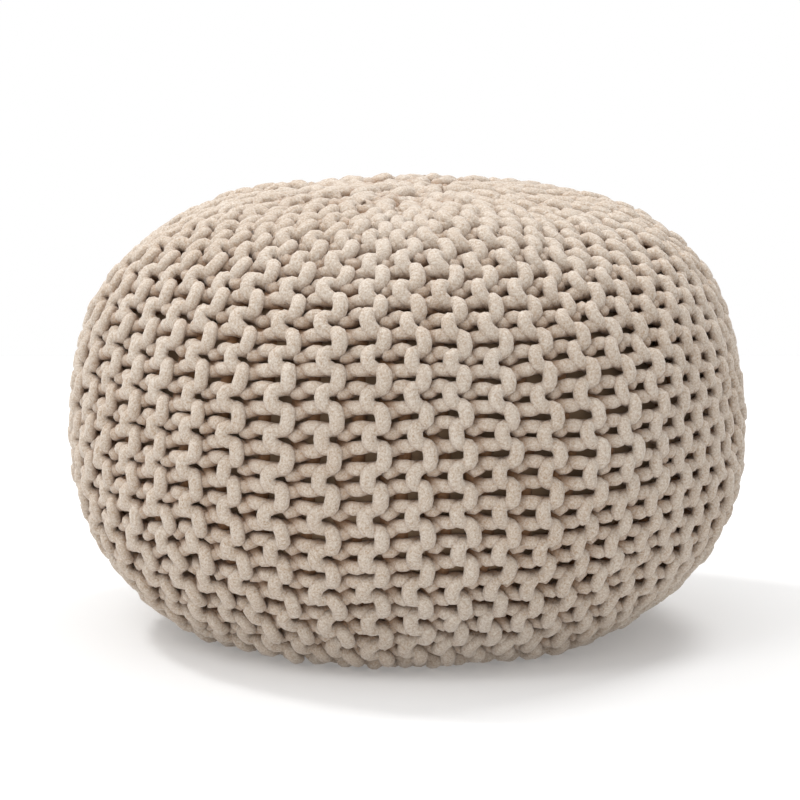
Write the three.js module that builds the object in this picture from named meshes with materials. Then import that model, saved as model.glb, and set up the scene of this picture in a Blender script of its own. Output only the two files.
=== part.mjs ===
// Knitted pouf: a round floor cushion in thick cotton rope, filled, in garter stitch.
// Millimetres, +Z up. The pouf rests on z = 0 and its front faces -Y.
// It is one soft body, so it is one solid: a crowned top, a drawn-in underside that sits
// flat on the floor, and the rope's ribs running from pole to pole in a zigzag.

import * as THREE from 'three';

// Overall form
const OUTER_RADIUS = 254;
const CROWN_RISE = 187;
const FLOOR_DROP = 151;
const LOWER_REACH = 189;
const CROWN_FULLNESS = 2.78;
const LOWER_FULLNESS = 2.15;
const LEAN = 0.02;

// Knitted ribs
const RIB_COUNT = 48;
const RIB_DEPTH = 9;
const ROW_PITCH = 14.1;
const ZIGZAG = 4.4;
const FULL_RIB_RADIUS = 150;
const NO_RIB_RADIUS = 30;

// How the hand-knitted ribs lie: looser on the left, and swinging round towards the crown
const FRONT_TURN = THREE.MathUtils.degToRad(2);
const LOOSE_SHARE = 0.13;
const LOOSE_SIDE = THREE.MathUtils.degToRad(-90);
const SWING = THREE.MathUtils.degToRad(61) / 1e6;
const SWING_START = 390;

// Fineness of the measured outline that the rows are laid out on
const OUTLINE_STEPS = 400;

// Radius of the outline at a height above (+) or below (-) the widest level.
function outlineRadius(height) {
  const reach = height > 0 ? CROWN_RISE : LOWER_REACH;
  const fullness = height > 0 ? CROWN_FULLNESS : LOWER_FULLNESS;
  const rise = Math.min(Math.abs(height) / reach, 1);
  return OUTER_RADIUS * Math.pow(1 - Math.pow(rise, fullness), 1 / fullness);
}

// The outline from the floor edge to the top of the crown, as fine points (radius, height).
function fineOutline() {
  const points = [];
  for (let step = 0; step <= OUTLINE_STEPS; step += 1) {
    const turn = (Math.PI / 2) * (step / OUTLINE_STEPS);
    const height = CROWN_RISE - (CROWN_RISE + FLOOR_DROP) * (1 - Math.sin(turn));
    points.push(new THREE.Vector2(outlineRadius(height), height + FLOOR_DROP));
  }
  points[OUTLINE_STEPS].x = 0;
  return points;
}

// Points one row apart along a fine outline.
function rowsAlong(fine) {
  const lengths = [0];
  for (let index = 1; index < fine.length; index += 1) {
    lengths.push(lengths[index - 1] + fine[index].distanceTo(fine[index - 1]));
  }
  const total = lengths[lengths.length - 1];
  const rowCount = Math.round(total / ROW_PITCH);
  const rows = [];
  let index = 1;
  for (let row = 0; row <= rowCount; row += 1) {
    const wanted = (total * row) / rowCount;
    while (index < fine.length - 1 && lengths[index] < wanted) index += 1;
    const share = (wanted - lengths[index - 1]) / (lengths[index] - lengths[index - 1]);
    rows.push(fine[index - 1].clone().lerp(fine[index], share));
  }
  return rows;
}

// How deep the valleys between ribs are where the body has this radius.
function ribDepth(radius) {
  return RIB_DEPTH * THREE.MathUtils.smoothstep(radius, NO_RIB_RADIUS, FULL_RIB_RADIUS);
}

// Angle of a rib line, round from the front to the right, at a distance from the top pole.
function ribAngle(evenAngle, fromPole) {
  const swing = SWING * Math.pow(Math.max(SWING_START - fromPole, 0), 2);
  const looseness = LOOSE_SHARE * Math.sin(evenAngle - LOOSE_SIDE);
  return evenAngle + FRONT_TURN + looseness - swing;
}

// Moves the points of a plain body of revolution into zigzag ribs.
// The body's points lie in columns, two to a rib: a crest and a valley.
function raiseRibs(geometry, outline) {
  const position = geometry.attributes.position;
  const columns = 2 * RIB_COUNT;
  const columnAngle = (2 * Math.PI) / columns;
  const lastRow = outline.length - 1;
  for (let point = 0; point < position.count; point += 1) {
    const row = point % outline.length;
    const column = Math.floor(point / outline.length) % columns;
    const { x: radius, y: height } = outline[row];
    const onWall = row > 1 && row < lastRow;
    let angle = ribAngle(column * columnAngle, (lastRow - Math.max(row, 1)) * ROW_PITCH);
    let inward = 0;
    let upward = 0;
    if (onWall) {
      const run = outline[row + 1].clone().sub(outline[row - 1]).normalize();
      const depth = ribDepth(radius);
      const side = row % 2 === 0 ? 1 : -1;
      angle += (side * ZIGZAG * (depth / RIB_DEPTH)) / radius;
      if (column % 2 === 1) {
        inward = run.y * depth;
        upward = run.x * depth;
      }
    }
    const reach = radius - inward;
    const level = height + upward;
    const across = reach * Math.sin(angle) + LEAN * level;
    position.setXYZ(point, across, -reach * Math.cos(angle), level);
  }
}

// The whole pouf: floor disc, ribbed wall and crown as one closed body.
function poufGeometry() {
  const rows = rowsAlong(fineOutline());
  const outline = [new THREE.Vector2(0, 0), ...rows];
  const geometry = new THREE.LatheGeometry(outline, 2 * RIB_COUNT);
  raiseRibs(geometry, outline);
  geometry.computeBoundingBox();
  const middle = geometry.boundingBox.getCenter(new THREE.Vector3());
  geometry.translate(-middle.x, -middle.y, 0);
  geometry.computeVertexNormals();
  return geometry;
}

const cottonRope = new THREE.MeshStandardMaterial({
  color: 0xb8a797,
  roughness: 0.92,
  metalness: 0,
});

const pouf = new THREE.Mesh(poufGeometry(), cottonRope);
pouf.name = 'knitted_pouf';

const group = new THREE.Group();
group.add(pouf);

export default group;
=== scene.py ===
"""A round floor pouf with a cover hand-knitted from thick cotton rope, in garter stitch.

Metres, +Z up. The pouf rests on z = 0 and its front faces -Y. Places on its skin are given by
the distance down from the top pole (s), the angle round from the front (phi, positive to the
right) and the height off the middle layer of the knit (w).
"""

import logging
import math
from dataclasses import dataclass
from enum import Enum
from typing import Sequence

import bpy
import numpy as np
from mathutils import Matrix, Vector


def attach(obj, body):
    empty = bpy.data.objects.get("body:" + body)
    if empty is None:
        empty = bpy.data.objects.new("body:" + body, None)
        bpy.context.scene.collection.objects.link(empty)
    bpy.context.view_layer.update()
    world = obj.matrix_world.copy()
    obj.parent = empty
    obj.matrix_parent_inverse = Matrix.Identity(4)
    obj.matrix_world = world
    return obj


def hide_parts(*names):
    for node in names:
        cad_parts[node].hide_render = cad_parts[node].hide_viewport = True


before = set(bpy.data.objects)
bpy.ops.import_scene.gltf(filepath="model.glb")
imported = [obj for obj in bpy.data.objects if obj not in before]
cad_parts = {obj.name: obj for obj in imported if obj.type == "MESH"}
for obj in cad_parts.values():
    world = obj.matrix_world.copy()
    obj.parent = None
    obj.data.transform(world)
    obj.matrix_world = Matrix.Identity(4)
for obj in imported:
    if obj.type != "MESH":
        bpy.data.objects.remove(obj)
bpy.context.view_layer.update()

log = logging.getLogger("pouf")

TURN = 2 * math.pi
MM = 0.001
BODY = "root"
CAD_NODE = "knitted_pouf"
BAKE_MAP = "OFBake"


def linear_colour(code: str) -> tuple[float, float, float, float]:
    """Turns an sRGB hex colour into the linear RGBA that shaders take.

    Args:
        code: six hex digits, with or without a leading #.

    Returns:
        Linear red, green and blue, and an alpha of 1.
    """
    digits = code.lstrip("#")
    shares = [int(digits[i : i + 2], 16) / 255 for i in (0, 2, 4)]
    red, green, blue = (c / 12.92 if c <= 0.04045 else ((c + 0.055) / 1.055) ** 2.4 for c in shares)
    return (red, green, blue, 1.0)


def smooth_step(value: np.ndarray) -> np.ndarray:
    """Eases from 0 to 1 as value goes from 0 to 1."""
    share = np.clip(value, 0.0, 1.0)
    return share * share * (3 - 2 * share)


def unit(vectors: np.ndarray) -> np.ndarray:
    """Scales each row vector to length 1."""
    return vectors / np.maximum(np.linalg.norm(vectors, axis=-1, keepdims=True), 1e-12)


def way_along(*columns: np.ndarray) -> np.ndarray:
    """Gives the distance gone at each point of a line, from the line's coordinates."""
    return np.append(0.0, np.cumsum(np.linalg.norm(np.diff(np.stack(columns), axis=1), axis=0)))


@dataclass(frozen=True)
class Outline:
    """The pouf's outline from the top pole down to the middle of its underside, by distance s.

    Attributes:
        s: distance along the outline from the top pole.
        r: distance from the pouf's axis.
        z: height above the floor.
        nr: outward share of the surface normal.
        nz: upward share of the surface normal.
    """

    s: np.ndarray
    r: np.ndarray
    z: np.ndarray
    nr: np.ndarray
    nz: np.ndarray

    @property
    def length(self) -> float:
        """The whole way from pole to pole."""
        return float(self.s[-1])

    def at(self, s: np.ndarray) -> tuple[np.ndarray, np.ndarray, np.ndarray, np.ndarray]:
        """Looks up radius, height and the two shares of the normal at distances s."""
        return tuple(np.interp(s, self.s, column) for column in (self.r, self.z, self.nr, self.nz))

    def radius(self, s: np.ndarray) -> np.ndarray:
        """Looks up the radius alone at distances s."""
        return np.interp(s, self.s, self.r)

    def reach_of_radius(self, radius: float) -> tuple[float, float]:
        """Finds where the outline passes a radius, near the top pole and near the bottom one.

        Args:
            radius: distance from the axis.

        Returns:
            The two distances s.
        """
        widest = int(np.argmax(self.r))
        top = float(np.interp(radius, self.r[:widest], self.s[:widest]))
        under = float(np.interp(radius, self.r[widest:][::-1], self.s[widest:][::-1]))
        return top, under


@dataclass(frozen=True)
class PoufForm:
    """The filled body's sizes, as in the CAD part.

    Attributes:
        outer_radius: radius at the widest level.
        crown_rise: height of the top over the widest level.
        floor_drop: height of the widest level over the floor.
        lower_reach: how far down the lower half would go if the floor did not cut it off.
        crown_fullness: power of the upper curve. 2 makes an ellipse, and more is squarer.
        lower_fullness: power of the lower curve.
        lean: sideways shift for each metre of height.
        edge_softness: width of the average that rounds the edge at the floor.
        step: distance between the outline's points.
        first_points: how many points the outline has before it is divided evenly.
    """

    outer_radius: float = 0.254
    crown_rise: float = 0.187
    floor_drop: float = 0.151
    lower_reach: float = 0.189
    crown_fullness: float = 2.78
    lower_fullness: float = 2.15
    lean: float = 0.02
    edge_softness: float = 0.012
    step: float = 0.001
    first_points: int = 4000

    def radius_at(self, height: np.ndarray) -> np.ndarray:
        """Gives the outline's radius.

        Args:
            height: heights above the widest level, or below it where negative.

        Returns:
            The radius at each of them.
        """
        reach = np.where(height > 0, self.crown_rise, self.lower_reach)
        fullness = np.where(height > 0, self.crown_fullness, self.lower_fullness)
        rise = np.minimum(np.abs(height) / reach, 1.0)
        return self.outer_radius * (1 - rise**fullness) ** (1 / fullness)

    def sharp_outline(self) -> tuple[np.ndarray, np.ndarray]:
        """Lays out the outline in even steps, with a sharp edge where it meets the floor.

        Returns:
            Radius and height at each step.
        """
        turn = np.linspace(0, math.pi / 2, self.first_points)
        height = self.crown_rise - (self.crown_rise + self.floor_drop) * (1 - np.cos(turn))
        r = np.append(self.radius_at(height), 0.0)
        z = np.append(height + self.floor_drop, 0.0)
        r[0] = 0.0
        s = way_along(r, z)
        even = np.arange(0.0, s[-1], self.step)
        return np.interp(even, s, r), np.interp(even, s, z)

    def outline(self) -> Outline:
        """Rounds the edge at the floor and finds the normals.

        Returns:
            The outline from the top pole to the middle of the underside.
        """
        r, z = self.sharp_outline()
        reach = 3 * self.edge_softness
        spread = np.arange(-reach, reach + self.step, self.step)
        weights = np.exp(-0.5 * (spread / self.edge_softness) ** 2)
        weights /= weights.sum()
        pad = len(spread) // 2
        r = np.convolve(np.concatenate([-r[pad:0:-1], r, -r[-2 : -pad - 2 : -1]]), weights, "valid")
        z = np.convolve(np.concatenate([z[pad:0:-1], z, z[-2 : -pad - 2 : -1]]), weights, "valid")
        s = way_along(r, z)
        run_r, run_z = np.gradient(r, s), np.gradient(z, s)
        size = np.hypot(run_r, run_z)
        return Outline(s, np.maximum(r, 0.0), z, -run_z / size, run_r / size)


class Draw(Enum):
    """What a run of random numbers is for. Each has its own seed, so none shifts another."""

    TURNS = 0
    SIDEWAYS = 1
    LENGTHWISE = 2
    PROUD = 3
    ROPE = 100


@dataclass(frozen=True)
class Handwork:
    """The small unevenness of knitting by hand: a smooth field over the skin from summed waves.

    Attributes:
        seed: which pouf of the batch this is.
        sideways: sizes of the shifts round the pouf, for long, middle and short waves.
        lengthwise: sizes of the shifts down the pouf.
        proud: sizes of the lumps off the skin.
        lengths: wavelengths of the three kinds of wave.
        waves: how many waves of each kind are summed.
    """

    seed: int = 20
    sideways: tuple[float, float, float] = (2.2 * MM, 0.9 * MM, 0.6 * MM)
    lengthwise: tuple[float, float, float] = (2.0 * MM, 0.8 * MM, 0.5 * MM)
    proud: tuple[float, float, float] = (1.2 * MM, 0.6 * MM, 0.5 * MM)
    lengths: tuple[float, float, float] = (0.19, 0.075, 0.034)
    waves: int = 9

    def numbers(self, draw: Draw, index: int = 0) -> np.random.Generator:
        """Starts the random numbers for one use."""
        return np.random.default_rng(self.seed + draw.value + index)

    def shift(self, draw: Draw, s: np.ndarray, phi: np.ndarray, radius: float) -> np.ndarray:
        """Sums waves that close on themselves round the pouf.

        Args:
            draw: which way the shift goes: sideways, lengthwise or proud.
            s: distances from the top pole.
            phi: angles round the pouf.
            radius: radius that turns a wavelength into a whole number of waves round.

        Returns:
            The shift at each place.
        """
        sizes = {Draw.SIDEWAYS: self.sideways, Draw.LENGTHWISE: self.lengthwise, Draw.PROUD: self.proud}
        rng = self.numbers(draw)
        total = np.zeros_like(s)
        for size, length in zip(sizes[draw], self.lengths):
            for _ in range(self.waves):
                heading = rng.uniform(0, TURN)
                around = round(TURN * radius / length * math.cos(heading))
                down = TURN / length * math.sin(heading)
                phase = rng.uniform(0, TURN)
                total += size * math.sqrt(2 / self.waves) * np.cos(around * phi + down * s + phase)
        return total


@dataclass(frozen=True)
class Gauge:
    """How long the wales are. A wale is one stitch, measured along its ridge.

    The fabric is tightest a little above the widest level and opens towards both poles.

    Attributes:
        wale: length of the tightest wale.
        tight_level: distance from the top pole where the fabric is tightest.
        open_above: how fast the wales grow above that level, by distance squared.
        open_below: how fast they grow below it.
        most_open_above: length of the longest wale above it, in tightest wales.
        most_open_below: length of the longest one below it.
        phase: wale number at the top pole.
    """

    wale: float = 28.2 * MM
    tight_level: float = 0.335
    open_above: float = 4.5
    open_below: float = 11.0
    most_open_above: float = 1.0612
    most_open_below: float = 1.25
    phase: float = 0.216

    def wale_numbers(self, s: np.ndarray) -> np.ndarray:
        """Counts the wales from the top pole down.

        Args:
            s: distances from the top pole, in rising order from 0.

        Returns:
            The number of wales down to each of them.
        """
        off = s - self.tight_level
        opening = np.where(off < 0, self.open_above, self.open_below) * off**2
        most = np.where(off < 0, self.most_open_above, self.most_open_below)
        length = self.wale * np.minimum(1 + opening, most)
        steps = np.diff(s) / length[1:]
        return np.append(0.0, np.cumsum(steps)) + self.phase


class Side(Enum):
    """Which way a course of garter stitch faces: its low loops show in front or behind."""

    PURL = 1
    KNIT = -1


@dataclass(frozen=True)
class Stitch:
    """One loop of a course, and how its rope passes over and under the loops next to it.

    Attributes:
        half_layer: height of the bars in front over the middle layer, and of those behind under it.
        nesting: how far below the front bars the rope passes where it goes under one.
        valley: height of the legs over the middle layer, between two ridges.
        leg_rise: shares of that height where a leg is half way along and near its end.
        bar_shift: how far the bars' middles lie off their line, to either side.
        bars_to_ridge: least width of a ridge in bar shifts. In a narrower one the shift shrinks.
        reverse_share: where the line behind lies, as a share of the way to the next ridge.
        purl_sag: how far the legs of a purl-faced loop hang down, in wales.
        knit_sag: how far those of a knit-faced loop do.
    """

    half_layer: float = 6.3 * MM
    nesting: float = 7.9 * MM
    valley: float = 3.2 * MM
    leg_rise: tuple[float, float] = (0.3, 0.6)
    bar_shift: float = 5.6 * MM
    bars_to_ridge: float = 3.7
    reverse_share: float = 0.40
    purl_sag: float = 0.15
    knit_sag: float = 0.01

    def sag(self, side: Side) -> float:
        """Says how far the legs hang down, in wales."""
        return self.purl_sag if side is Side.PURL else self.knit_sag

    def half_loop(self, side: Side) -> np.ndarray:
        """Gives the rope's way through half a loop, from the sinker's middle to the head's.

        Args:
            side: which way the course faces.

        Returns:
            Rows of: place in wales from the head, share of the way from the sinker's line to
            the head's, shift off that line in bar shifts, height off the middle layer, and
            share of the leg's sag.
        """
        over = self.half_layer
        under = self.half_layer - self.nesting
        low, high = (self.valley * share for share in self.leg_rise)
        near, half_way, far = under, low, high
        if side is Side.KNIT:
            near, half_way, far = -self.valley, -high, -under
        # Two rows for half of the bar in front, two for its end, which turns under the bar beside
        # it, two for the leg to the next line, and two for the bend up to the bar behind.
        return np.array([
            (-0.500, 0.0, -1.00, over, 0.0),
            (-0.350, 0.0, -0.92, over, 0.0),
            (-0.268, 0.0, -0.15, over * 0.50, 0.1),
            (-0.240, 0.0, 1.00, near, 0.5),
            (-0.250, 0.6, 0.00, half_way, 1.0),
            (-0.260, 1.0, -0.70, far, 1.0),
            (-0.252, 1.0, 0.40, -over * 0.42, 0.5),
            (-0.160, 1.0, 0.95, -over, 0.0),
        ])

    def loop(self, side: Side) -> np.ndarray:
        """Gives one whole loop's points, from one sinker's middle up to the next one's.

        Args:
            side: which way the course faces.

        Returns:
            Rows as half_loop gives them, without the next loop's first point.
        """
        rising = self.half_loop(side)
        head = np.array([(0.0, 1.0, 1.0, -self.half_layer, 0.0)])
        falling = rising[:0:-1] * np.array([-1, 1, 1, 1, 1])
        return np.concatenate([rising, head, falling])


@dataclass(frozen=True)
class RopeTube:
    """One closed way of rope as a tube.

    Attributes:
        rings: the points of each ring.
        height: each point's height off the middle layer of the knit.
        pitch: how far the rings are apart.
    """

    rings: np.ndarray
    height: np.ndarray
    pitch: float


@dataclass(frozen=True)
class Rope:
    """The soft thick rope, and how finely it is drawn.

    Attributes:
        thickness: diameter of the free rope.
        widening: by how much it spreads sideways where it is bent over another rope.
        flattening: by how much it flattens there.
        crown_swell: by how much it is thicker at the poles, where less pulls on it.
        unevenness: spread of its thickness from one run of rings to the next.
        even_run: how many rings make a run.
        loop_rings: rings to each loop.
        sides: points to each ring.
        curve_points: points between two control points before the curve is divided evenly.
        smoothing: how many times the curve is averaged with its neighbours.
    """

    thickness: float = 9.2 * MM
    widening: float = 0.22
    flattening: float = 0.06
    crown_swell: float = 0.24
    unevenness: float = 0.03
    even_run: int = 12
    loop_rings: int = 24
    sides: int = 10
    curve_points: int = 6
    smoothing: int = 3

    @property
    def girth(self) -> float:
        """The way round the rope."""
        return math.pi * self.thickness

    def curve(self, points: np.ndarray, count: int) -> np.ndarray:
        """Draws a smooth closed curve through points and divides it evenly.

        Args:
            points: control points in order, with what they carry besides x, y and z.
            count: how many points the result has.

        Returns:
            Points spaced evenly along the curve.
        """
        before, after = np.roll(points, 1, axis=0), np.roll(points, -1, axis=0)
        beyond = np.roll(points, -2, axis=0)
        t = (np.arange(self.curve_points) / self.curve_points)[None, :, None]
        a, b, c, d = (p[:, None, :] for p in (before, points, after, beyond))
        fine = 0.5 * (2 * b + (c - a) * t + (2 * a - 5 * b + 4 * c - d) * t**2
                      + (3 * b - a - 3 * c + d) * t**3)
        fine = fine.reshape(-1, points.shape[1])
        for _ in range(self.smoothing):
            fine = (np.roll(fine, 1, axis=0) + 2 * fine + np.roll(fine, -1, axis=0)) / 4
        ring = np.concatenate([fine, fine[:1]])
        far = way_along(*ring[:, :3].T)
        even = np.linspace(0.0, far[-1], count, endpoint=False)
        return np.stack([np.interp(even, far, column) for column in ring.T], axis=-1)

    def spokes(self, line: np.ndarray) -> np.ndarray:
        """Stands a ring of unit spokes on each point of a closed line, without twist.

        Args:
            line: points along the middle of the rope.

        Returns:
            For each point, one direction for each side of the rope.
        """
        tangent = unit(np.roll(line, -1, axis=0) - np.roll(line, 1, axis=0))
        normal = np.empty_like(line)
        # Any direction does here that the rope doesn't start along.
        normal[0] = unit(np.cross(tangent[0], (0.3, 0.2, 0.9)))
        for index in range(1, len(line)):
            carried = normal[index - 1] - tangent[index] * (normal[index - 1] @ tangent[index])
            normal[index] = carried / math.sqrt(carried @ carried)
        side = np.cross(tangent, normal)
        miss = math.atan2(normal[-1] @ side[0], normal[-1] @ normal[0])
        angle = -miss * np.arange(len(line)) / len(line)
        turned = (angle[:, None] + TURN * np.arange(self.sides) / self.sides)[..., None]
        return np.cos(turned) * normal[:, None, :] + np.sin(turned) * side[:, None, :]

    def tube(self, way: np.ndarray, centre: np.ndarray, bar_height: float,
             rng: np.random.Generator) -> RopeTube:
        """Wraps a closed rope line in rope, which spreads and flattens where it is bent over.

        Args:
            way: the rope's middle, evenly spaced, with its height and crowding.
            centre: middle of the pouf, which every point of the skin faces away from.
            bar_height: height off the middle layer at which the rope is fully bent.
            rng: random numbers for the rope's own small changes of thickness.

        Returns:
            The tube.
        """
        line, height, crowding = way[:, :3], way[:, 3], way[:, 4]
        runs = len(line) // self.even_run + 1
        slow = np.repeat(rng.normal(0, self.unevenness, runs), self.even_run)[: len(line)]
        half_run = self.even_run // 2
        slow = (np.roll(slow, half_run) + slow + np.roll(slow, -half_run)) / 3
        radius = self.thickness / 2 * (1 + slow + self.crown_swell * crowding)
        spokes = self.spokes(line) * radius[:, None, None]
        outward = unit(line - centre)[:, None, :]
        bent = smooth_step(np.abs(height) / bar_height)[:, None, None]
        off = np.sum(spokes * outward, axis=-1, keepdims=True) * outward
        spokes = spokes * (1 + self.widening * bent) - off * (self.widening + self.flattening) * bent
        point_height = height[:, None] + np.sum(spokes * outward, axis=-1)
        pitch = float(np.linalg.norm(np.diff(line, axis=0), axis=1).mean())
        return RopeTube(line[:, None, :] + spokes, point_height, pitch)


@dataclass(frozen=True)
class KnitCover:
    """The knitted cover. Ridges run from pole to pole, two courses of stitches to a ridge.

    Each course is one row of loops along s. A loop's low end (the sinker) is hooked round the
    loops of the course before and its head is hooked by the course after, so in front every
    ridge is two files of rope bars that turn alternately left and right.

    Attributes:
        form: the filled body.
        outline: the body's outline.
        handwork: the unevenness of the knitting.
        gauge: how long the stitches are.
        stitch: how a loop lies.
        rope: what it is knitted from.
        ridges: how many ridges there are round the pouf.
        panels: how many pieces the cover is built in.
        settle: how far the proudest bars stand out of the outline.
        closing_radius: where the ridges end at the poles.
        closing_room: the smallest radius that bars are spread over, in closing radii.
        calm_radius: within this radius of the axis the handwork fades out.
        crown_radius: within this radius the ropes begin to crowd.
        crown_press: by how much the knit is pressed flat where they crowd most.
        turns: radii where short rows turn back, from the outermost in.
        stagger: by how much those radii vary.
        turn_blend: half the way over which a short row's room closes.
        turn_reach: how far the rope goes past the last loop as it turns back, in wales.
        tuck: how deep a short row's end is tucked in.
        tuck_wales: over how many wales it goes down.
        loose_side: angle of the side where the ridges lie furthest apart.
        loose_share: by how much, as a share of their even spacing.
        drift: how far the ridges swing aside as they climb to the crown, by distance squared.
        drift_end: distance from the top pole where the swing begins.
        bow: half of how far the rows of stitches sink at the back.
        bow_side: angle of the side where they don't sink.
        front_phase: how far the whole cover is turned.
    """

    form: PoufForm
    outline: Outline
    handwork: Handwork = Handwork()
    gauge: Gauge = Gauge()
    stitch: Stitch = Stitch()
    rope: Rope = Rope()
    ridges: int = 48
    panels: int = 6
    settle: float = 2.2 * MM
    closing_radius: float = 8 * MM
    closing_room: float = 0.6
    calm_radius: float = 96 * MM
    crown_radius: float = 0.215
    crown_press: float = 0.62
    turns: tuple[float, ...] = (0.080, 0.039, 0.019)
    stagger: float = 0.10
    turn_blend: float = 12 * MM
    turn_reach: float = 0.24
    tuck: float = 8 * MM
    tuck_wales: float = 1.2
    loose_side: float = math.radians(-90)
    loose_share: float = 0.13
    drift: float = math.radians(61)
    drift_end: float = 0.39
    bow: float = 10 * MM
    bow_side: float = math.radians(10)
    front_phase: float = math.radians(2.0)

    @property
    def depth(self) -> float:
        """How far the middle of the knit lies under the outline, with its bars settled."""
        return self.stitch.half_layer + self.rope.thickness / 2 - self.settle

    def wale_place(self, number: np.ndarray) -> np.ndarray:
        """Finds the distance s of each wale number, whole or not."""
        return np.interp(number, self.gauge.wale_numbers(self.outline.s), self.outline.s)

    def wale_at(self, s: float) -> float:
        """Finds the wale number at a distance s."""
        return float(np.interp(s, self.outline.s, self.gauge.wale_numbers(self.outline.s)))

    def ridge_edges(self) -> tuple[np.ndarray, np.ndarray]:
        """Works out how wide each ridge's share of the round is at each distance s.

        Near the poles, short rows turn back: every other ridge stops at the first turn, and
        half of the rest at each turn after it, so that the rope always has its own width.

        Returns:
            The angle of each ridge line (ridges + 1 columns) and each ridge's own turn radius,
            which is 0 where the ridge runs to the closing.
        """
        rng = self.handwork.numbers(Draw.TURNS)
        turn_radius = np.zeros(self.ridges)
        for level, radius in enumerate(self.turns):
            turn_radius[2**level :: 2 ** (level + 1)] = radius
        turn_radius *= 1 + self.stagger * rng.uniform(-1, 1, self.ridges)
        share = (self.outline.r[:, None] - turn_radius + self.turn_blend) / (2 * self.turn_blend)
        width = np.where(turn_radius > 0, smooth_step(share), 1.0)
        edges = np.concatenate([np.zeros((len(width), 1)), np.cumsum(width, axis=1)], axis=1)
        return TURN * edges / edges[:, -1:], turn_radius

    def line_angle(self, edges: np.ndarray, line: int, s: np.ndarray) -> np.ndarray:
        """Looks up the angle of a ridge line at distances s, before the fabric's own ease."""
        turns, column = divmod(line, self.ridges)
        return np.interp(s, self.outline.s, edges[:, column]) + turns * TURN

    def eased(self, s: np.ndarray, phi: np.ndarray) -> np.ndarray:
        """Spreads the ridges on the loose side and lets them swing as they climb to the crown.

        Args:
            s: distances from the top pole.
            phi: angles of the evenly spaced ridges.

        Returns:
            The angles where the ridges really lie.
        """
        swing = self.drift * np.maximum(self.drift_end - s, 0.0) ** 2
        return phi + self.front_phase + self.loose_share * np.sin(phi - self.loose_side) - swing

    def placed(self, s: np.ndarray, phi: np.ndarray, w: np.ndarray) -> np.ndarray:
        """Turns places on the skin into points in space.

        Args:
            s: distances from the top pole.
            phi: angles round from the front.
            w: heights off the middle layer.

        Returns:
            Points, one row each.
        """
        r, z, nr, nz = self.outline.at(s)
        reach = r + (w - self.depth) * nr
        level = z + (w - self.depth) * nz
        x = reach * np.sin(phi) + self.form.lean * (level - self.form.floor_drop)
        return np.stack([x, -reach * np.cos(phi), level], axis=-1)

    def course(self, edges: np.ndarray, ridge: int, side: Side, first: int, last: int) -> np.ndarray:
        """Lays the rope of one course.

        Args:
            edges: the ridge lines' angles.
            ridge: which ridge the course belongs to.
            side: purl-faced courses start in front on the ridge's line; knit-faced ones start
                behind, part of the way to the next ridge, and end in front on its line.
            first: number of the first loop.
            last: number after the last loop.

        Returns:
            Rows of s, phi, w.
        """
        stitch = self.stitch
        loop = stitch.loop(side)
        number = np.arange(first, last)[:, None]
        s = self.wale_place((number + loop[:, 0] + stitch.sag(side) * loop[:, 4]).ravel())
        share, shift, w = (np.tile(loop[:, column], last - first) for column in (1, 2, 3))
        here = self.line_angle(edges, ridge, s)
        after = self.line_angle(edges, ridge + 1, s)
        middle = here + (after - here) * stitch.reverse_share
        start, end = (here, middle) if side is Side.PURL else (middle, after)
        r = np.maximum(self.outline.radius(s), self.closing_radius * self.closing_room)
        bar = np.minimum(stitch.bar_shift, (after - here) * r / stitch.bars_to_ridge)
        phi = start + (end - start) * share + shift * bar / r
        return np.stack([s, phi, w * side.value], axis=-1)

    def turn_back(self, edges: np.ndarray, ridge: int, number: float, onward: int) -> np.ndarray:
        """Gives the place where the rope turns back between a ridge's two courses.

        Args:
            edges: the ridge lines' angles.
            ridge: which ridge.
            number: wale number where its last loop ends.
            onward: 1 where the ridge ends downwards, -1 where it ends upwards.

        Returns:
            One row of s, phi, w.
        """
        s = self.wale_place(np.array([number + self.turn_reach * onward]))
        middle = (self.line_angle(edges, ridge, s) * 0.5 + self.line_angle(edges, ridge + 1, s) * 0.5)
        return np.stack([s, middle, np.zeros(1)], axis=-1)

    def ridge_path(self, edges: np.ndarray, turn_radius: float, ridge: int) -> np.ndarray:
        """Lays one ridge's rope: up one course, round the turn and back along the other.

        Args:
            edges: the ridge lines' angles.
            turn_radius: where a short row turns; 0 for a ridge that runs to the closing.
            ridge: which ridge.

        Returns:
            Control points in space, round a closed way, as worked_by_hand gives them.
        """
        top, under = self.outline.reach_of_radius(max(turn_radius, self.closing_radius))
        first = math.ceil(self.wale_at(top) + 0.5)
        last = math.floor(self.wale_at(under) + 0.5)
        going = self.course(edges, ridge, Side.PURL, first, last)
        coming = self.course(edges, ridge, Side.KNIT, first, last)[::-1]
        bottom = self.turn_back(edges, ridge, last - 0.5, 1)
        back = self.turn_back(edges, ridge, first - 0.5, -1)
        way = np.concatenate([going, bottom, coming, back])
        if turn_radius > 0:
            from_end = np.minimum(way[:, 0] - way[:, 0].min(), way[:, 0].max() - way[:, 0])
            inward = 1 - smooth_step(from_end / (self.tuck_wales * self.gauge.wale))
            way[:, 2] -= self.tuck * inward
        return self.worked_by_hand(way)

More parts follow.
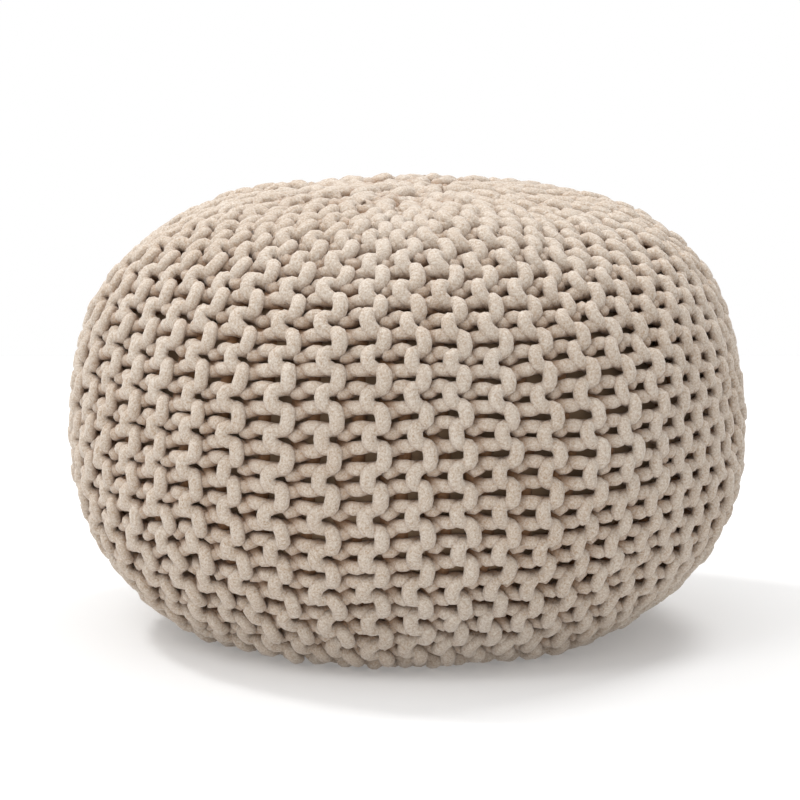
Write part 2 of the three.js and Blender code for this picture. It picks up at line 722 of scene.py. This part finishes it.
    def worked_by_hand(self, way: np.ndarray) -> np.ndarray:
        """Shifts places on the skin as a hand would and turns them into points.

        Args:
            way: rows of s, phi, w.

        Returns:
            Rows of x, y, z, height off the middle layer before it is pressed, and crowding,
            which is 0 low on the sides and 1 at the poles.
        """
        s, phi, w = way.T
        phi = self.eased(s, phi)
        radius = self.outline.radius(s)
        calm = smooth_step(radius / self.calm_radius)
        hand, round_radius = self.handwork, self.form.outer_radius
        round_shift = hand.shift(Draw.SIDEWAYS, s, phi, round_radius) * calm
        down_shift = hand.shift(Draw.LENGTHWISE, s, phi, round_radius) * calm
        off_shift = hand.shift(Draw.PROUD, s, phi, round_radius) - hand.proud[0]
        bowed = self.bow * (1 - np.cos(phi - self.bow_side)) * calm
        moved = np.clip(s + down_shift + bowed, 0.0, self.outline.length)
        crowding = 1 - smooth_step(radius / self.crown_radius)
        pressed = w * (1 - self.crown_press * crowding)
        turned = phi + round_shift / np.maximum(radius, self.closing_radius)
        return np.column_stack([self.placed(moved, turned, pressed + off_shift), w, crowding])

    def ridge_tube(self, edges: np.ndarray, turn_radius: float, ridge: int) -> RopeTube:
        """Makes one ridge's rope.

        Args:
            edges: the ridge lines' angles.
            turn_radius: where a short row turns; 0 for a ridge that runs to the closing.
            ridge: which ridge.

        Returns:
            The rope as a tube.
        """
        points = self.ridge_path(edges, turn_radius, ridge)
        loops = len(points) / len(self.stitch.loop(Side.PURL))
        way = self.rope.curve(points, round(loops * self.rope.loop_rings))
        centre = np.array([0.0, 0.0, self.form.floor_drop])
        return self.rope.tube(way, centre, self.stitch.half_layer, self.handwork.numbers(Draw.ROPE, ridge))

    def build(self, finish: bpy.types.Material) -> list[bpy.types.Object]:
        """Knits the cover in panels of whole ridges and dresses them.

        Args:
            finish: what the rope is dressed in.

        Returns:
            One piece for each panel.
        """
        edges, turn_radius = self.ridge_edges()
        share = self.ridges // self.panels
        pieces = []
        for panel in range(self.panels):
            mine = range(panel * share, (panel + 1) * share)
            tubes = [self.ridge_tube(edges, float(turn_radius[ridge]), ridge) for ridge in mine]
            piece = rope_piece(f"knit_panel_{panel + 1}", tubes, self.rope.girth)
            dress(piece, finish)
            pieces.append(piece)
        return pieces


def strip_map(rings: int, sides: int, pitch: float, girth: float, gap: float = 0.04) -> np.ndarray:
    """Lays a rope's faces out flat in a unit square, as rows of one strip cut to length.

    Args:
        rings: how many rings of faces there are.
        sides: faces round each ring.
        pitch: length of a face along the rope.
        girth: the way round the rope.
        gap: share of a row left free at its lower and upper edge.

    Returns:
        For each side, each ring and each face corner, its place in the square.
    """
    rows = max(1, round(math.sqrt(rings * pitch / girth)))
    row_length = math.ceil(rings / rows)
    ring = np.arange(rings)
    left = (ring % row_length) / row_length
    right = left + 1 / row_length
    across = np.stack([left, right, right, left], axis=1)
    strips = []
    for side in range(sides):
        low, high = (gap + (1 - 2 * gap) * edge / sides for edge in (side, side + 1))
        up = (ring[:, None] // row_length + np.array([low, low, high, high])) / rows
        strips.append(np.stack([across, up], axis=-1))
    return np.stack(strips)


def rope_piece(name: str, tubes: Sequence[RopeTube], girth: float) -> bpy.types.Object:
    """Joins rope tubes into one mesh object with a map along and round the rope.

    Where the pouf stands, the rope is pressed flat on the floor.

    Args:
        name: the piece's name.
        tubes: closed tubes of rope, all with as many sides.
        girth: the way round the rope.

    Returns:
        The object, linked into the scene.
    """
    sides = tubes[0].rings.shape[1]
    rings = sum(len(tube.rings) for tube in tubes)
    flat = strip_map(rings, sides, float(np.mean([tube.pitch for tube in tubes])), girth)
    points = np.concatenate([tube.rings.reshape(-1, 3) for tube in tubes])
    points[:, 2] = np.maximum(points[:, 2], 0.0)
    faces, along, turn, baked = [], [], [], []
    base = 0
    for tube in tubes:
        count = len(tube.rings)
        ring = np.arange(count)
        after = (ring + 1) % count
        far = ring * tube.pitch
        for side in range(sides):
            next_side = (side + 1) % sides
            faces.append(np.stack([ring * sides + side, after * sides + side,
                                   after * sides + next_side, ring * sides + next_side], axis=1) + base)
            along.append(np.stack([far, far + tube.pitch, far + tube.pitch, far], axis=1))
            turn.append(np.tile([side, side, side + 1, side + 1], (count, 1)) / sides)
            baked.append(flat[side, base // sides : base // sides + count])
        base += count * sides
    places = np.stack([np.concatenate(along), np.concatenate(turn)], axis=-1)
    maps = {"rope": places, BAKE_MAP: np.concatenate(baked)}
    piece = mesh_object(name, points, np.concatenate(faces), maps)
    # This height drives the painted shade of rope that lies deep in the fabric.
    height = piece.data.attributes.new("height", "FLOAT", "POINT")
    height.data.foreach_set("value", np.concatenate([tube.height.ravel() for tube in tubes]))
    return piece


def mesh_object(name: str, points: np.ndarray, quads: np.ndarray,
                maps: dict[str, np.ndarray]) -> bpy.types.Object:
    """Makes a smooth mesh object from arrays.

    Args:
        name: the object's name.
        points: one row for each point.
        quads: four point numbers for each face.
        maps: UV maps by name, two numbers for each face corner.

    Returns:
        The object, linked into the scene.
    """
    mesh = bpy.data.meshes.new(name)
    mesh.vertices.add(len(points))
    mesh.vertices.foreach_set("co", points.astype(np.float32).ravel())
    mesh.loops.add(quads.size)
    mesh.loops.foreach_set("vertex_index", quads.astype(np.int32).ravel())
    mesh.polygons.add(len(quads))
    mesh.polygons.foreach_set("loop_start", np.arange(0, quads.size, 4, dtype=np.int32))
    mesh.polygons.foreach_set("loop_total", np.full(len(quads), 4, dtype=np.int32))
    mesh.polygons.foreach_set("use_smooth", np.ones(len(quads), dtype=bool))
    for label, places in maps.items():
        layer = mesh.uv_layers.new(name=label)
        layer.data.foreach_set("uv", places.astype(np.float32).ravel())
    mesh.update(calc_edges=True)
    mesh.validate()
    piece = bpy.data.objects.new(name, mesh)
    bpy.context.scene.collection.objects.link(piece)
    return piece


def dress(piece: bpy.types.Object, finish: bpy.types.Material) -> None:
    """Gives a piece its finish and ties it to the CAD part.

    Args:
        piece: what is dressed.
        finish: its material.
    """
    piece.data.materials.append(finish)
    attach(piece, BODY)
    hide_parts(CAD_NODE)


@dataclass(frozen=True)
class InnerBag:
    """The filled bag inside the cover, which shows only as darkness and a little cloth, its cloth darkened
    as painted shade.

    Attributes:
        cover: the cover round it.
        sink: how far its skin lies under the middle layer of the knit.
        columns: faces round it.
        rows: points from pole to pole.
    """

    cover: KnitCover
    sink: float = 6.5 * MM
    columns: int = 144
    rows: int = 110

    def build(self, finish: bpy.types.Material) -> bpy.types.Object:
        """Makes the bag's closed skin just under the knit, firmly filled, and dresses it.

        Args:
            finish: what its cloth is dressed in.

        Returns:
            The bag.
        """
        s = np.linspace(0.0, self.cover.outline.length, self.rows)
        phi = np.linspace(0.0, TURN, self.columns, endpoint=False)
        grid_s, grid_phi = np.meshgrid(s, phi, indexing="ij")
        points = self.cover.placed(grid_s.ravel(), grid_phi.ravel(), np.full(grid_s.size, -self.sink))
        row = np.arange(self.rows - 1)[:, None] * self.columns
        column = np.arange(self.columns)
        after = (column + 1) % self.columns
        corners = [row + column, row + self.columns + column, row + self.columns + after, row + after]
        quads = np.stack([np.broadcast_to(c, (self.rows - 1, self.columns)) for c in corners], axis=-1)
        across = np.arange(self.columns)[:, None] + np.array([0, 0, 1, 1])
        down = np.arange(self.rows - 1)[:, None] + np.array([0, 1, 1, 0])
        shape = (self.rows - 1, self.columns, 4)
        flat = np.stack([np.broadcast_to(across / self.columns, shape),
                         np.broadcast_to(down[:, None, :] / (self.rows - 1), shape)], axis=-1)
        flat = flat.reshape(-1, 4, 2)
        cloth = flat * np.array([TURN, self.cover.outline.length])
        maps = {"cloth": cloth, BAKE_MAP: flat}
        bag = mesh_object("inner_bag", points, quads.reshape(-1, 4), maps)
        dress(bag, finish)
        return bag


@dataclass(frozen=True)
class Nodes:
    """The shader nodes of a material or of the world.

    Attributes:
        owner: the material or the world.
    """

    owner: bpy.types.ID

    def __post_init__(self) -> None:
        """Starts with an empty node tree."""
        self.owner.use_nodes = True
        self.owner.node_tree.nodes.clear()

    def add(self, kind: str, settings: dict | None = None, **links: object) -> bpy.types.Node:
        """Adds a node with its settings and what goes into it.

        Args:
            kind: the node's type without the ShaderNode prefix.
            settings: the node's properties.
            links: input name, or i and a number, to a node, a socket or a plain value.

        Returns:
            The node.
        """
        tree = self.owner.node_tree
        node = tree.nodes.new(f"ShaderNode{kind}")
        for key, value in (settings or {}).items():
            setattr(node, key, value)
        for key, value in links.items():
            numbered = key[1:].isdigit() and key[0] == "i"
            socket = node.inputs[int(key[1:])] if numbered else node.inputs[key.replace("_", " ")]
            if isinstance(value, bpy.types.Node):
                tree.links.new(value.outputs[0], socket)
            elif isinstance(value, bpy.types.NodeSocket):
                tree.links.new(value, socket)
            else:
                socket.default_value = value
        return node


@dataclass(frozen=True)
class CottonRopeFinish:
    """Undyed cotton rope, braided from soft strands.

    Cotton reflects light dully, and its loose fibres catch it at the edges, so the rope is rough
    and chalky with some sheen, mottled, with a faint plait, and painted brown deep in the fabric as
    painted shade.

    Attributes:
        light: colour of the open fibres.
        deep: colour between the fibres.
        painted_shade: colour of rope that lies deep in the fabric, a painted shade where little light
            reaches it.
        roughness: how dull it is on average.
        roughness_swing: how much that changes from patch to patch.
        sheen: strength of the light on the loose fibres.
        sheen_roughness: how far that light spreads.
        ior: that of cotton fibre.
        plait: length of one repeat of the plait.
        strands_round: repeats of the plait round the rope.
        fibre: size of the mottling. Cotton fibres are about 0.02 mm thick, too fine to show, so
            they are drawn as coarse as this.
        fibre_detail: finer steps of the mottling.
        fibre_roughness: how strong those steps are.
        fibre_tone: how much the mottling tells in the colour.
        patches: soft changes of tone, to a metre.
        patch_detail: finer steps of those changes.
        patch_tone: how much they tell.
        plait_tone: how much the plait tells in the colour.
        plain_tone: the tone that all these are added to.
        plait_relief: height of the plait, as a share of the fibres'.
        relief: height of the bumps.
        relief_strength: how much of it is seen.
        shaded_from: height off the middle layer where the rope has the full painted shade.
        shaded_to: height where it has its own colour, free of painted shade.
    """

    light: str = "#d2c8bc"
    deep: str = "#a3896f"
    painted_shade: str = "#8b6440"
    roughness: float = 0.93
    roughness_swing: float = 0.08
    sheen: float = 0.22
    sheen_roughness: float = 0.5
    ior: float = 1.47
    plait: float = 5.5 * MM
    strands_round: int = 3
    fibre: float = 1.5 * MM
    fibre_detail: float = 2.0
    fibre_roughness: float = 0.7
    fibre_tone: float = 2.2
    patches: float = 14.0
    patch_detail: float = 3.0
    patch_tone: float = 0.5
    plait_tone: float = 0.06
    plain_tone: float = -0.75
    plait_relief: float = 0.25
    relief: float = 0.8 * MM
    relief_strength: float = 0.7
    shaded_from: float = -4.5 * MM
    shaded_to: float = 9 * MM

    def plait_waves(self, nodes: Nodes) -> bpy.types.Node:
        """Crosses two waves that wind round the rope, for the diamonds of the plait.

        Args:
            nodes: the material's nodes.

        Returns:
            The node that gives 1 on top of a strand and -1 between strands.
        """
        places = nodes.add("UVMap", {"uv_map": "rope"})
        split = nodes.add("SeparateXYZ", i0=places)
        along = nodes.add("Math", {"operation": "MULTIPLY"}, i0=split.outputs[0], i1=TURN / self.plait)
        turn = nodes.add("Math", {"operation": "MULTIPLY"}, i0=split.outputs[1],
                         i1=TURN * self.strands_round)
        left = nodes.add("Math", {"operation": "ADD"}, i0=along, i1=turn)
        right = nodes.add("Math", {"operation": "SUBTRACT"}, i0=along, i1=turn)
        left_wave = nodes.add("Math", {"operation": "COSINE"}, i0=left)
        right_wave = nodes.add("Math", {"operation": "COSINE"}, i0=right)
        return nodes.add("Math", {"operation": "MULTIPLY"}, i0=left_wave, i1=right_wave)

    def build(self) -> bpy.types.Material:
        """Makes the material.

        Returns:
            The material.
        """
        nodes = Nodes(bpy.data.materials.new("CottonRope"))
        plait = self.plait_waves(nodes)
        spot = nodes.add("NewGeometry")
        fuzz = nodes.add("TexNoise", Vector=spot.outputs["Position"], Scale=1 / self.fibre,
                         Detail=self.fibre_detail, Roughness=self.fibre_roughness)
        patch = nodes.add("TexNoise", Vector=spot.outputs["Position"], Scale=self.patches,
                          Detail=self.patch_detail)
        tone = nodes.add("Math", {"operation": "MULTIPLY_ADD"}, i0=fuzz.outputs[0],
                         i1=self.fibre_tone, i2=self.plain_tone)
        tone = nodes.add("Math", {"operation": "MULTIPLY_ADD"}, i0=patch.outputs[0],
                         i1=self.patch_tone, i2=tone)
        tone = nodes.add("Math", {"operation": "MULTIPLY_ADD"}, i0=plait, i1=self.plait_tone, i2=tone)
        outer = nodes.add("Mix", {"data_type": "RGBA"}, i0=tone, i6=linear_colour(self.deep),
                          i7=linear_colour(self.light))
        # Painted shade: rope that lies low in the fabric is coloured dark brown, fading out as it rises.
        height = nodes.add("Attribute", {"attribute_name": "height"})
        out_of_painted_shade = nodes.add("MapRange", {"interpolation_type": "SMOOTHSTEP"},
                             i0=height.outputs["Fac"], i1=self.shaded_from, i2=self.shaded_to)
        colour = nodes.add("Mix", {"data_type": "RGBA"}, i0=out_of_painted_shade, i6=linear_colour(self.painted_shade),
                           i7=outer.outputs[2])
        relief = nodes.add("Math", {"operation": "MULTIPLY_ADD"}, i0=plait, i1=self.plait_relief,
                           i2=fuzz.outputs[0])
        bump = nodes.add("Bump", Strength=self.relief_strength, Distance=self.relief, Height=relief)
        rough = nodes.add("Math", {"operation": "MULTIPLY_ADD"}, i0=patch.outputs[0],
                          i1=self.roughness_swing, i2=self.roughness - self.roughness_swing / 2)
        surface = nodes.add("BsdfPrincipled", Base_Color=colour.outputs[2], Roughness=rough,
                            Normal=bump, Sheen_Weight=self.sheen,
                            Sheen_Roughness=self.sheen_roughness, IOR=self.ior)
        nodes.add("OutputMaterial", Surface=surface)
        return nodes.owner


@dataclass(frozen=True)
class CalicoFinish:
    """Calico, a plain-woven unbleached cotton cloth.

    It has no shine at all, so in the gaps of the knit it is a dull warm tan that darkens quickly. Its own
    tan is made darker, as painted shade for those gaps.

    Attributes:
        light: colour of the threads.
        deep: colour between the threads.
        roughness: how dull it is at its smoothest.
        roughness_swing: how much duller it gets from patch to patch.
        ior: that of cotton fibre.
        thread: thread spacing. Real threads lie 0.4 mm apart, too close to show, so they are
            drawn as coarse as this.
        radius: the bag's radius, which turns an angle into a distance.
        patches: changes of tone, to a metre.
        patch_detail: finer steps of those changes.
        weave_tone: how much the weave tells in the colour.
        relief: height of the threads.
        relief_strength: how much of it is seen.
    """

    # The calico's own tan, made darker as painted shade for the gaps of the knit.
    light: str = "#a3896e"
    deep: str = "#897258"
    roughness: float = 0.85
    roughness_swing: float = 0.1
    ior: float = 1.47
    thread: float = 2.0 * MM
    radius: float = 0.25
    patches: float = 30.0
    patch_detail: float = 4.0
    weave_tone: float = 0.15
    relief: float = 0.4 * MM
    relief_strength: float = 0.4

    def build(self) -> bpy.types.Material:
        """Makes the material.

        Returns:
            The material.
        """
        nodes = Nodes(bpy.data.materials.new("Calico"))
        places = nodes.add("UVMap", {"uv_map": "cloth"})
        split = nodes.add("SeparateXYZ", i0=places)
        across = nodes.add("Math", {"operation": "MULTIPLY"}, i0=split.outputs[0],
                           i1=TURN * self.radius / self.thread)
        down = nodes.add("Math", {"operation": "MULTIPLY"}, i0=split.outputs[1], i1=TURN / self.thread)
        warp = nodes.add("Math", {"operation": "SINE"}, i0=across)
        weft = nodes.add("Math", {"operation": "SINE"}, i0=down)
        weave = nodes.add("Math", {"operation": "MULTIPLY"}, i0=warp, i1=weft)
        spot = nodes.add("NewGeometry")
        patch = nodes.add("TexNoise", Vector=spot.outputs["Position"], Scale=self.patches,
                          Detail=self.patch_detail)
        tone = nodes.add("Math", {"operation": "MULTIPLY_ADD"}, i0=weave, i1=self.weave_tone,
                         i2=patch.outputs[0])
        colour = nodes.add("Mix", {"data_type": "RGBA"}, i0=tone, i6=linear_colour(self.deep),
                           i7=linear_colour(self.light))
        bump = nodes.add("Bump", Strength=self.relief_strength, Distance=self.relief, Height=weave)
        rough = nodes.add("Math", {"operation": "MULTIPLY_ADD"}, i0=patch.outputs[0],
                          i1=self.roughness_swing, i2=self.roughness)
        surface = nodes.add("BsdfPrincipled", Base_Color=colour.outputs[2], Roughness=rough,
                            Normal=bump, IOR=self.ior)
        nodes.add("OutputMaterial", Surface=surface)
        return nodes.owner


@dataclass(frozen=True)
class PaperFinish:
    """White background paper, rolled and uncoated, lit from behind a little.

    It is matte. It burns out to white wherever the lamps reach it, and its shadows stay faint.

    Attributes:
        colour: the paper's own colour.
        roughness: how dull it is.
        glow: strength of the light from behind.
    """

    colour: str = "#d9d9d9"
    roughness: float = 0.9
    glow: float = 0.195

    def build(self) -> bpy.types.Material:
        """Makes the material.

        Returns:
            The material.
        """
        nodes = Nodes(bpy.data.materials.new("BackgroundPaper"))
        surface = nodes.add("BsdfPrincipled", Base_Color=linear_colour(self.colour),
                            Roughness=self.roughness, Emission_Color=(1, 1, 1, 1),
                            Emission_Strength=self.glow)
        nodes.add("OutputMaterial", Surface=surface)
        return nodes.owner


@dataclass(frozen=True)
class Lamp:
    """A square lamp.

    Attributes:
        name: the lamp's name.
        place: where it hangs.
        size: its side.
        watts: its power.
    """

    name: str
    place: tuple[float, float, float]
    size: float
    watts: float

    def hang(self, target: Vector) -> None:
        """Hangs the lamp so that it points at something.

        Args:
            target: what it points at.
        """
        data = bpy.data.lights.new(self.name, "AREA")
        data.size = self.size
        data.energy = self.watts
        lamp = bpy.data.objects.new(self.name, data)
        lamp.location = self.place
        lamp.rotation_euler = (target - Vector(self.place)).to_track_quat("-Z", "Y").to_euler()
        bpy.context.scene.collection.objects.link(lamp)


@dataclass(frozen=True)
class Studio:
    """The paper floor, the lamps and the camera.

    Attributes:
        form: the pouf that stands in it.
        distance: from the camera to the pouf's middle.
        elevation: how far the camera looks down.
        focal_px: focal length in pixels of the picture.
        picture_px: side of the picture.
        sensor_mm: side of the camera's sensor.
        centre_px: where the middle of the pouf's widest level lies in the picture.
        paper_half: half the side of the paper.
        sky: strength of the white room's walls, from the dark side to the bright one.
        sky_spread: how far towards the bright side, from -1 to 1, each of the two is reached.
        bright_from: where the bright side lies.
        ground: strength of the room's floor.
        horizon: how far above and below the horizon walls and floor blend.
        lamps: the lamps.
    """

    form: PoufForm
    distance: float = 3.3
    elevation: float = math.radians(9.5)
    focal_px: float = 4367.0
    picture_px: float = 800.0
    sensor_mm: float = 36.0
    centre_px: tuple[float, float] = (407.1, 427.8)
    paper_half: float = 1.3
    sky: tuple[float, float] = (0.08, 1.18)
    sky_spread: tuple[float, float] = (-0.4, 1.0)
    bright_from: tuple[float, float, float] = (-0.34, -0.34, 0.88)
    ground: float = 1.0
    horizon: float = 0.01
    lamps: tuple[Lamp, ...] = (
        Lamp("back_left", (-1.7, 0.9, 2.6), 0.4, 37),
        Lamp("back_right", (1.1, 1.0, 2.9), 1.0, 38),
        Lamp("front_fill", (-1.5, -1.9, 2.9), 1.2, 26),
    )

    def floor(self) -> bpy.types.Object:
        """Lays the paper floor.

        Returns:
            The floor.
        """
        half = self.paper_half
        corners = np.array([(-half, -half, 0), (half, -half, 0), (half, half, 0), (-half, half, 0)])
        paper = mesh_object("paper_floor", corners, np.array([[0, 1, 2, 3]]), {})
        paper.data.materials.append(PaperFinish().build())
        return paper

    def room(self) -> bpy.types.World:
        """Makes the white room, brightest high on one side and on its floor.

        Returns:
            The room.
        """
        nodes = Nodes(bpy.data.worlds.new("white_room"))
        heading = nodes.add("TexCoord").outputs["Generated"]
        toward = nodes.add("VectorMath", {"operation": "DOT_PRODUCT"}, i0=heading, i1=self.bright_from)
        walls = nodes.add("MapRange", i0=toward.outputs["Value"], i1=self.sky_spread[0],
                          i2=self.sky_spread[1], i3=self.sky[0], i4=self.sky[1])
        split = nodes.add("SeparateXYZ", i0=heading)
        strength = nodes.add("MapRange", i0=split.outputs[2], i1=self.horizon, i2=-self.horizon,
                             i3=walls, i4=self.ground)
        background = nodes.add("Background", Color=(1, 1, 1, 1), Strength=strength)
        nodes.add("OutputWorld", Surface=background)
        return nodes.owner

    def camera(self) -> bpy.types.Object:
        """Places the camera so that the pouf fills the picture as photographed.

        Returns:
            The camera.
        """
        per_metre = self.focal_px / self.distance
        aside = -(self.centre_px[0] - self.picture_px / 2) / per_metre
        above = (self.centre_px[1] - self.picture_px / 2) / per_metre
        target = Vector((aside, 0, self.form.floor_drop + above))
        back = Vector((0, -math.cos(self.elevation), math.sin(self.elevation)))
        data = bpy.data.cameras.new("camera")
        data.lens = self.focal_px / self.picture_px * self.sensor_mm
        data.sensor_width = self.sensor_mm
        camera = bpy.data.objects.new("camera", data)
        camera.location = target + back * self.distance
        camera.rotation_euler = (-back).to_track_quat("-Z", "Y").to_euler()
        bpy.context.scene.collection.objects.link(camera)
        return camera

    def build(self) -> None:
        """Sets up the studio, with a plain view transform, so that white paper is white."""
        scene = bpy.context.scene
        self.floor()
        scene.world = self.room()
        for lamp in self.lamps:
            lamp.hang(Vector((0, 0, self.form.floor_drop)))
        scene.camera = self.camera()
        scene.view_settings.view_transform = "Standard"


def main() -> None:
    """Builds the pouf and its studio, and reports each piece."""
    logging.basicConfig(level=logging.INFO, format="%(message)s")
    form = PoufForm()
    cover = KnitCover(form, form.outline())
    for panel in cover.build(CottonRopeFinish().build()):
        log.info("%s: %d faces of rope", panel.name, len(panel.data.polygons))
    bag = InnerBag(cover).build(CalicoFinish().build())
    log.info("%s: %d faces of cloth", bag.name, len(bag.data.polygons))
    Studio(form).build()
    log.info("size file written")


if __name__ == "__main__":
    main()
